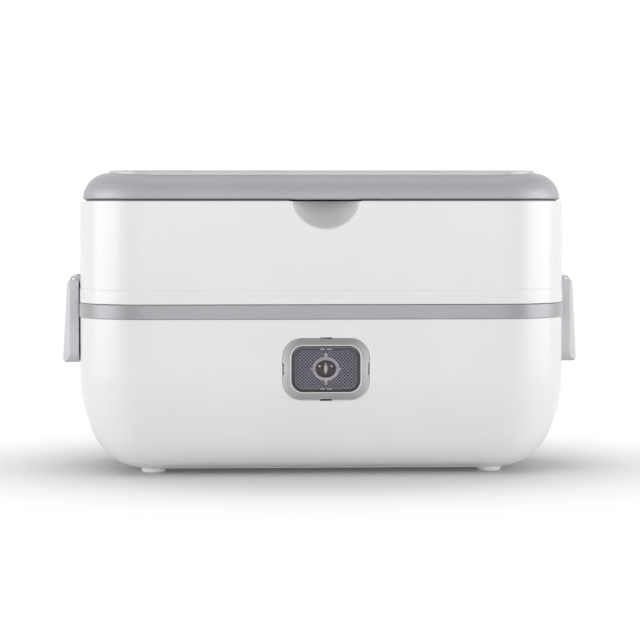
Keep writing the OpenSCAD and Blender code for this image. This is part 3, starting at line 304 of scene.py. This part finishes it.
def prism_field(name, ridge, soft_ridge, pit):
    """Smoked plastic with painted shade in its pits and a painted highlight on its ridges; the ridges take
    soft_ridge on the left and ridge on the right, a painted light a little brighter on the left.
    """
    m, nt, b = new_material(name)
    top = WINDOW.y + RIDGE_Y * MM
    # painted shade: darker with depth from the ridges into the pits
    depth = spread(nt, axis(nt, "Y"), 0.0, 1.0, top, top + PIT * 0.5 * MM)
    # painted light: the ridges a little lighter on the left than on the right
    across = spread(nt, axis(nt, "X"), 0.0, 1.0, -0.016, 0.012)
    cloud = spread(nt, noise(nt, 420, 2), 0.82, 1.0)
    colour = tint(nt, joined(nt, "MULTIPLY", depth, cloud), tint(nt, across, soft_ridge, ridge), pit)
    nt.links.new(colour, b.inputs["Base Color"])
    nt.links.new(spread(nt, noise(nt, 300, 3), 0.1, 0.16), b.inputs["Roughness"])
    surface(nt, b, [(noise(nt, 900, 3), 0.000006)], 0.00008)
    return m


SLOT_OF = {p["node"]: p["material_slot"] for p in frame["record"]["subparts"]}
for node, obj in NODES.items():
    obj.data.materials.clear()
    obj.data.materials.append(M[SLOT_OF[node]])
# The upper shell takes a painted highlight along its edges and rim, and painted shade in its scoop and along
# the seam.
NODES["upper_shell"].data.materials[0] = moulded(
    "upper_shell_white", SHELL, 0.3, 0.012, 0.000008, coat=0.2, wear_and_highlight=0.16, hollow_shade=(0.33, 0.014, 0.45, 0.95))


# ---------------------------------------------------------------- pieces in mesh code
# Millimetres from WINDOW, the middle of the lamp window on the front plane of the bezel; y runs inwards.
LENS_LOW, LENS_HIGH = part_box("lamp_lens")
BEZEL_LOW, BEZEL_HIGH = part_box("lamp_bezel")
WINDOW = Vector((0.0, BEZEL_LOW.y, (LENS_LOW.z + LENS_HIGH.z) / 2))


def span(low, high, k):
    return (high[k] - low[k]) / MM


LENS_W = span(LENS_LOW, LENS_HIGH, 0) - 1.9     # the face inside the bezel; the CAD lens has a rim behind it
LENS_H = span(LENS_LOW, LENS_HIGH, 2) - 1.9
LENS_R = 5.6
LENS_FRONT = (LENS_LOW.y - WINDOW.y) / MM
LENS_BACK = (LENS_HIGH.y - WINDOW.y) / MM
BORDER = 2.1                # glossy border round the prisms
BORDER_BACK = 2.7
PITCH = 1.15                # prisms, square to each other along the diagonals
RIDGE = 0.1                 # half width of the ridges between them
RIDGE_Y = 0.62
PIT = 0.5                   # depth of a prism below its ridges
PRISMS = 20                 # prisms on each side of the middle
WELL_RX, WELL_RZ, WELL_Y = 5.6, 4.95, 2.9       # hollow of the field behind the lamp
BEZEL_R = 9.3
SLOT_HALF = 2.85            # half length of the four slots in the bezel's rim
SLOT_CUT = 0.475            # depth of the upper and lower slot into the rim
SIDE_SLOT = 0.7             # width of the slots at the sides, seen from the front
SIDE_SLOT_DEPTH = 1.1
STUD_X, STUD_Z = 2.9, 1.2   # the two studs beside the lamp
MARK_Z = 9.5                # the dashes on the lens border above and below


def rounded(w, h, r, y, steps=10):
    """Points round a rounded rectangle that stands upright at depth y."""
    points = []
    for sx, sz, start in ((1, 1, 0), (-1, 1, 90), (-1, -1, 180), (1, -1, 270)):
        for i in range(steps + 1):
            a = math.radians(start + 90.0 * i / steps)
            points.append((sx * (w / 2 - r) + r * math.cos(a), y, sz * (h / 2 - r) + r * math.sin(a)))
    return points


def inset_rings(w, h, r, profile):
    """Rings of one rounded rectangle, each moved in by an inset and set at a depth."""
    return [rounded(w - 2 * d, h - 2 * d, max(r - d, 0.3), y) for d, y in profile]


def notched(w, h, r, y, marks, steps=10):
    """A rounded ring with extra points at both ends of the slot in the middle of each side."""
    points = []
    ring = rounded(w, h, r, y, steps)
    per = steps + 1
    for corner, (dx, dz) in enumerate(((-1, 0), (0, -1), (1, 0), (0, 1))):
        points += ring[corner * per:(corner + 1) * per]
        x, _, z = ring[(corner + 1) * per - 1]
        for m in marks:
            points.append((x if dx == 0 else dx * m, y, z if dz == 0 else dz * m))
    return points


def oval(rx, rz, y, steps=48):
    turn = 2 * math.pi / steps
    return [(rx * math.cos(i * turn), y, rz * math.sin(i * turn)) for i in range(steps)]


def loft(bm, rings, closed=False, lip=()):
    """Joins rings into a skin; the strips whose numbers are in lip take the piece's second material."""
    rows = [[bm.verts.new(p) for p in points] for points in rings]
    pairs = list(zip(rows, rows[1:]))
    if closed:
        pairs.append((rows[-1], rows[0]))
    for strip, (a, c) in enumerate(pairs):
        for i in range(len(a)):
            j = (i + 1) % len(a)
            face = bm.faces.new((a[i], a[j], c[j], c[i]))
            face.material_index = 1 if strip in lip else 0
    return rows


def capped(bm, rings):
    """A solid body: a skin with both ends shut."""
    rows = loft(bm, rings)
    for row in (rows[0], rows[-1]):
        bm.faces.new(row)


def block(bm, low, high, soft=0.15):
    """A closed box with bevelled edges between two corners."""
    made = bmesh.ops.create_cube(bm, size=1.0)["verts"]
    for v in made:
        v.co = Vector([lo + (hi - lo) * (c + 0.5) for lo, hi, c in zip(low, high, v.co)])
    edges = list({e for v in made for e in v.link_edges})
    bmesh.ops.bevel(bm, geom=edges, offset=soft, segments=3, profile=0.5, affect="EDGES")


def make(bm, name, slot, stands_for=(), angle=32.0, tight=0.0004):
    """Turns a bmesh of the window into a piece that rides on the base."""
    bmesh.ops.remove_doubles(bm, verts=bm.verts, dist=tight)
    bmesh.ops.recalc_face_normals(bm, faces=bm.faces)
    for v in bm.verts:
        v.co = v.co * MM + WINDOW
    mesh = bpy.data.meshes.new(name)
    bm.to_mesh(mesh)
    bm.free()
    mesh.polygons.foreach_set("use_smooth", [True] * len(mesh.polygons))
    mesh.set_sharp_from_angle(angle=math.radians(angle))
    obj = bpy.data.objects.new(name, mesh)
    bpy.context.collection.objects.link(obj)
    mesh.materials.append(M[slot])
    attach(obj, "base")
    if stands_for:
        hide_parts(*stands_for)


def lens_border():
    """Bevelled glossy border of the lens, sunk by a step towards its field."""
    bm = bmesh.new()
    profile = [(0.0, BORDER_BACK), (0.0, LENS_FRONT + 0.2), (0.06, LENS_FRONT + 0.07), (0.2, LENS_FRONT),
               (BORDER - 0.25, LENS_FRONT), (BORDER - 0.13, LENS_FRONT + 0.03),
               (BORDER - 0.03, LENS_FRONT + 0.14), (BORDER, RIDGE_Y + 0.1), (BORDER, BORDER_BACK)]
    # the step strips take the second material, a lighter painted highlight line
    loft(bm, inset_rings(LENS_W, LENS_H, LENS_R, profile), closed=True, lip=(4, 5, 6))
    make(bm, "lens_border", "lens_smoke", ("lamp_lens",))


def lens_field():
    """Field of diamond prisms between fine diagonal ridges, with the well of the lamp in its middle."""
    bm = bmesh.new()
    field = rounded(LENS_W - 2 * BORDER, LENS_H - 2 * BORDER, LENS_R - BORDER, 0.0)

    def place(u, v, y):
        x, z = (u - v) * math.sqrt(0.5), (u + v) * math.sqrt(0.5)
        deep = WELL_Y if (x / WELL_RX) ** 2 + (z / WELL_RZ) ** 2 < 1 else y
        return bm.verts.new((x, deep, z))

    far = PITCH - RIDGE
    for k in range(-PRISMS, PRISMS):
        for i in range(-PRISMS, PRISMS):
            u, v = k * PITCH, i * PITCH
            corners = ((0, 0), (1, 0), (1, 1), (0, 1))
            outer = [place(u + a * PITCH, v + c * PITCH, RIDGE_Y) for a, c in corners]
            ends = ((RIDGE, RIDGE), (far, RIDGE), (far, far), (RIDGE, far))
            inner = [place(u + a, v + c, RIDGE_Y + 0.03) for a, c in ends]
            low = place(u + PITCH / 2, v + PITCH / 2, RIDGE_Y + PIT)
            for n in range(4):
                m = (n + 1) % 4
                bm.faces.new((outer[n], outer[m], inner[m], inner[n]))
                bm.faces.new((inner[n], inner[m], low))
    bmesh.ops.remove_doubles(bm, verts=bm.verts, dist=0.0004)
    for i, p in enumerate(field):
        q = field[(i + 1) % len(field)]
        side = Vector((q[0] - p[0], 0, q[2] - p[2]))
        if side.length > 1e-6:
            out = Vector((side.z, 0, -side.x)).normalized()
            bmesh.ops.bisect_plane(bm, geom=bm.verts[:] + bm.edges[:] + bm.faces[:],
                                   plane_co=Vector(p), plane_no=out, clear_outer=True)
    grown = bmesh.ops.extrude_edge_only(bm, edges=[e for e in bm.edges if e.is_boundary])["geom"]
    for v in [g for g in grown if isinstance(g, bmesh.types.BMVert)]:
        v.co.y = LENS_BACK - 0.2
    make(bm, "lens_prisms", "lens_smoke", ("lamp_lens",), angle=12.0)


def bezel():
    """Frame of the window: a dished satin face between two thin lips, a slot at each of its four middles."""
    bm = bmesh.new()
    outer = (span(BEZEL_LOW, BEZEL_HIGH, 0), span(BEZEL_LOW, BEZEL_HIGH, 2), BEZEL_R)
    inner = (LENS_W + 0.1, LENS_H + 0.1, LENS_R)
    back = span(BEZEL_LOW, BEZEL_HIGH, 1)
    marks = (-SLOT_HALF - 0.03, -SLOT_HALF, SLOT_HALF, SLOT_HALF + 0.03)
    # share of the way from the outer to the inner outline, and the depth there
    outer_lip = [(0.0, 1.2), (0.0, 0.25), (0.012, 0.1), (0.035, 0.02), (0.07, 0.0), (0.11, 0.05)]
    dish = [(0.162, 0.17), (0.163, 0.17), (0.26, 0.4), (0.4, 0.62), (0.55, 0.76), (0.7, 0.82), (0.79, 0.8)]
    inner_lip = [(0.82, 0.5), (0.84, 0.15), (0.87, 0.03), (0.91, 0.0), (0.95, 0.02), (0.985, 0.1),
                 (1.0, 0.25), (1.0, 1.15)]
    rings = []
    for t, y in outer_lip + dish + inner_lip:
        w, h, r = (a + (c - a) * t for a, c in zip(outer, inner))
        points = []
        for x, _, z in notched(w, h, r, y, marks):
            deep = y
            if abs(x) <= SLOT_HALF + 0.001 and abs(z) > outer[1] / 2 - SLOT_CUT:
                z = math.copysign(outer[1] / 2 - SLOT_CUT, z)
            if abs(z) <= SLOT_HALF + 0.001 and abs(x) > outer[0] / 2 - SIDE_SLOT - 0.0001 and t < 0.1625:
                deep = max(y, SIDE_SLOT_DEPTH)
            points.append((x, deep, z))
        rings.append(points)
    for grow, y in ((1.0, 1.2), (1.0, back), (2.3, back), (2.3, 1.2)):      # barrel behind the face
        rings.append(notched(inner[0] + 2 * grow, inner[1] + 2 * grow, inner[2] + grow, y, marks))
    # the inner lip's strips take the second material, a lighter painted highlight line
    loft(bm, rings, closed=True, lip=range(14, 19))
    make(bm, "window_bezel", "bezel_satin", ("lamp_bezel",), tight=0.00001)


def lamp_lip():
    """Pale lip round the lamp with a tip at each side, a rib above and below, and the dashes beyond."""
    bm = bmesh.new()
    lip = [(6.3, 5.6, 1.6), (6.5, 5.8, 0.85), (6.45, 5.75, 0.62), (6.2, 5.5, 0.5), (5.7, 4.95, 0.5),
           (5.2, 4.4, 0.62), (4.95, 4.12, 0.9), (4.85, 4.0, 1.6)]
    loft(bm, [oval(*v) for v in lip], closed=True)
    for side in (-1, 1):
        tip = [bm.verts.new((side * x, y, z)) for x, y, z in (
            (6.2, 0.5, 0.8), (6.2, 0.5, -0.8), (6.2, 1.4, -0.8), (6.2, 1.4, 0.8), (7.7, 0.62, 0.0),
            (7.7, 1.2, 0.0))]
        for face in ((0, 1, 4), (3, 5, 2), (0, 4, 5, 3), (1, 2, 5, 4), (0, 3, 2, 1)):
            bm.faces.new([tip[i] for i in face])
        block(bm, (-0.75, 0.45, side * 6.2 - 1.3), (0.75, 1.5, side * 6.2 + 1.3), 0.12)
        for left, right in ((-2.8, -0.5), (0.4, 2.9)):
            block(bm, (left, LENS_FRONT - 0.06, side * MARK_Z - 0.3), (right, 0.7, side * MARK_Z + 0.3), 0.1)
    make(bm, "lamp_lip", "lens_smoke")


def lamp_bulb():
    """The lamp itself, narrow and pointed above and below."""
    bm = bmesh.new()
    tall = 2.6
    rings = []
    for grow, y in ((0.1, 2.0), (0.5, 2.05), (0.85, 2.4), (1.0, 3.2), (1.0, 7.0)):
        ring = []
        for x, _, z in oval(1.0, tall, y, 32):
            toward_end = abs(z / tall) ** 3
            longer = 1.0 + (0.35 if z > 0 else 0.12) * toward_end
            ring.append((x * grow * (1 - 0.45 * toward_end), y, z * longer * grow))
        rings.append(ring)
    capped(bm, rings)
    make(bm, "lamp_bulb", "lamp_clear", ("lamp_led",), angle=50.0)


def lamp_seat():
    """Dark funnel round the lamp; its back part fits into the bore of the lamp holder."""
    bm = bmesh.new()
    capped(bm, [oval(4.15, 4.1, 7.1), oval(4.15, 4.1, 3.05), oval(4.9, 4.1, 3.0), oval(4.9, 4.1, 1.7),
                oval(4.8, 4.0, 1.6), oval(4.6, 3.8, 1.8), oval(3.4, 2.9, 4.6), oval(2.9, 2.5, 5.4)])
    make(bm, "lamp_seat", "dark_plastic", angle=50.0)


def lamp_studs():
    bm = bmesh.new()
    profile = [(0.62, 5.0), (0.62, 3.2), (0.55, 2.95), (0.38, 2.8), (0.12, 2.75)]
    for side in (-1, 1):
        capped(bm, [[(x + side * STUD_X, y, z + STUD_Z) for x, _, z in oval(r, r, y, 20)]
                    for r, y in profile])
    make(bm, "lamp_studs", "fastener_steel")


for build in (lens_border, lens_field, bezel, lamp_lip, lamp_bulb, lamp_seat, lamp_studs):
    build()

# The photo shows the window as satin and densely smoked plastic, so its pieces get materials of their own.
FACES = {
    # the bezel takes painted side light, a painted edge highlight and painted shade in its hollows
    "window_bezel": frame_with_painted_side_light("bezel_painted_side_light", (0.3, 0.3, 0.3), (0.62, 0.62, 0.625)),
    # the lens border's edges are lightened strongly, a painted highlight
    "lens_border": moulded("lens_edge", (0.022, 0.02, 0.028), 0.25, 0.05, coat=0.1, wear_and_highlight=3.0),
    # the prism field takes painted shade in its pits and a painted highlight on its ridges
    "lens_prisms": prism_field("lens_field", (0.225, 0.21, 0.26), (0.235, 0.22, 0.28), (0.028, 0.025, 0.038)),
    "lamp_lip": moulded("lamp_lip", (0.23, 0.215, 0.245), 0.2, 0.25, coat=0.5, wear_and_highlight=0.6),
    "lamp_bulb": moulded("lamp_bulb", (0.5, 0.44, 0.44), 0.15, 0.05, coat=0.6),
    "lamp_seat": moulded("lamp_seat", (0.075, 0.045, 0.045), 0.3, 0.2, coat=0.4, wear_and_highlight=0.5),
}
# Second materials: a painted highlight line on the bezel's inner lip and on the lens border's step.
LIP_HIGHLIGHTS = {
    "window_bezel": moulded("bezel_lip_highlight", (0.68, 0.68, 0.685), 0.2, 0.02, coat=0.5),
    "lens_border": moulded("lens_step_highlight", (0.16, 0.15, 0.18), 0.15, 0.05, coat=0.6),
}
for piece, material in FACES.items():
    bpy.data.objects[piece].data.materials[0] = material
for piece, material in LIP_HIGHLIGHTS.items():
    bpy.data.objects[piece].data.materials.append(material)


# ---------------------------------------------------------------- stage
FLOOR_LIGHT = 0.96          # what the rays that light the object find on the floor
FLOOR_SEEN = 0.9            # what the eye finds there, before the painted shadow near the object
SHADE_BEND = 1.8
FLOOR_HALF = 40.0           # half side of the floor, m


def seen_by_eye(nt):
    """1 for camera, glossy and transmission rays, 0 for the rays that light the object."""
    path = add(nt, "ShaderNodeLightPath").outputs
    through = joined(nt, "MAXIMUM", path["Is Glossy Ray"], path["Is Transmission Ray"])
    return joined(nt, "MAXIMUM", path["Is Camera Ray"], through)


def backdrop(lift=0.2, near=0.1, far=0.235, reach_of_shade=0.12, darkest=0.42):
    """A pale floor that keeps the object's real shadow, adds a painted contact shadow near the object from
    ambient occlusion where the eye sees it, and turns to plain white away from it.
    """
    m, nt, b = new_material("floor_white")
    b.inputs["Roughness"].default_value = 0.7
    b.inputs["Specular IOR Level"].default_value = 0.1
    seen = seen_by_eye(nt)
    # painted shadow: ambient occlusion darkens the floor as the eye sees it near the object
    open_sky = add(nt, "ShaderNodeAmbientOcclusion", samples=16, in_Distance=reach_of_shade)
    bent = joined(nt, "POWER", open_sky.outputs["AO"], SHADE_BEND)
    painted_floor_shadow = spread(nt, bent, darkest, 1.0, 0.0, 1.0)
    grey = add(nt, "ShaderNodeMix", data_type="RGBA")
    grey.inputs["A"].default_value = (FLOOR_LIGHT, FLOOR_LIGHT, FLOOR_LIGHT, 1)
    nt.links.new(joined(nt, "MULTIPLY", painted_floor_shadow, FLOOR_SEEN), grey.inputs["B"])
    nt.links.new(seen, grey.inputs["Factor"])
    nt.links.new(grey.outputs["Result"], b.inputs["Base Color"])
    glow = add(nt, "ShaderNodeEmission")
    lifted = joined(nt, "MULTIPLY", seen, lift)
    nt.links.new(joined(nt, "MULTIPLY", lifted, painted_floor_shadow), glow.inputs["Strength"])
    close = add(nt, "ShaderNodeAddShader")
    nt.links.new(b.outputs["BSDF"], close.inputs[0])
    nt.links.new(glow.outputs["Emission"], close.inputs[1])
    place = add(nt, "ShaderNodeTexCoord")
    reach = add(nt, "ShaderNodeVectorMath", operation="LENGTH")
    nt.links.new(place.outputs["Object"], reach.inputs[0])
    ramp = add(nt, "ShaderNodeMapRange", interpolation_type="SMOOTHSTEP")
    ramp.inputs["From Min"].default_value = near
    ramp.inputs["From Max"].default_value = far
    nt.links.new(reach.outputs["Value"], ramp.inputs["Value"])
    white = add(nt, "ShaderNodeEmission", in_Strength=1.0)
    mix = add(nt, "ShaderNodeMixShader")
    nt.links.new(joined(nt, "MULTIPLY", ramp.outputs["Result"], seen), mix.inputs["Fac"])
    nt.links.new(close.outputs["Shader"], mix.inputs[1])
    nt.links.new(white.outputs["Emission"], mix.inputs[2])
    nt.links.new(mix.outputs["Shader"], nt.nodes["Material Output"].inputs["Surface"])
    mesh = bpy.data.meshes.new("floor")
    s = FLOOR_HALF
    mesh.from_pydata([(-s, -s, 0), (s, -s, 0), (s, s, 0), (-s, s, 0)], [], [(0, 1, 2, 3)])
    floor = bpy.data.objects.new("floor", mesh)
    bpy.context.collection.objects.link(floor)
    mesh.materials.append(m)


def world(strength):
    """White to the eye, dimmer as a light."""
    w = bpy.data.worlds.new("studio")
    bpy.context.scene.world = w
    w.use_nodes = True
    nt = w.node_tree
    back = nt.nodes["Background"]
    back.inputs["Color"].default_value = (1, 1, 1, 1)
    nt.links.new(spread(nt, seen_by_eye(nt), strength, 1.0, 0.0, 1.0), back.inputs["Strength"])


def softbox(name, at, toward, size, power):
    """A rectangular lamp in metres and watts."""
    light = bpy.data.lights.new(name, "AREA")
    light.shape = "RECTANGLE"
    light.size, light.size_y = size
    light.energy = power
    o = bpy.data.objects.new(name, light)
    o.location = at
    o.rotation_mode = "QUATERNION"
    o.rotation_quaternion = (Vector(toward) - Vector(at)).to_track_quat("-Z", "Y")
    bpy.context.collection.objects.link(o)


def camera(azimuth=-3.2, distance=1.3, height=0.1329, pitch=2.65, lens=146.9, aim_x=0.0005):
    """The photo's view: slightly from the left, level with the upper shell."""
    a = math.radians(azimuth)
    cam = bpy.data.objects.new("camera", bpy.data.cameras.new("camera"))
    cam.data.lens = lens
    cam.data.sensor_width = 36.0
    cam.data.clip_start, cam.data.clip_end = 0.05, 50.0
    at = Vector((math.sin(a) * distance, -math.cos(a) * distance, height))
    aim = Vector((aim_x, 0.0, height - distance * math.tan(math.radians(pitch))))
    cam.location = at
    cam.rotation_mode = "QUATERNION"
    cam.rotation_quaternion = (aim - at).to_track_quat("-Z", "Y")
    bpy.context.collection.objects.link(cam)
    bpy.context.scene.camera = cam


camera()
backdrop()
world(0.37)
BODY_MIDDLE = (0, 0, 0.07)
softbox("side_left", (-1.2, -0.3, 0.2), BODY_MIDDLE, (1.1, 0.9), 9.5)
softbox("side_right", (1.2, -0.3, 0.2), BODY_MIDDLE, (1.1, 0.9), 9.8)
softbox("front", (0.0, -2.1, 0.45), BODY_MIDDLE, (1.6, 0.8), 8.6)
softbox("top", (0.0, 0.1, 1.3), (0, 0, 0.1), (1.2, 1.0), 1.9)
bpy.context.scene.view_settings.view_transform = "Standard"
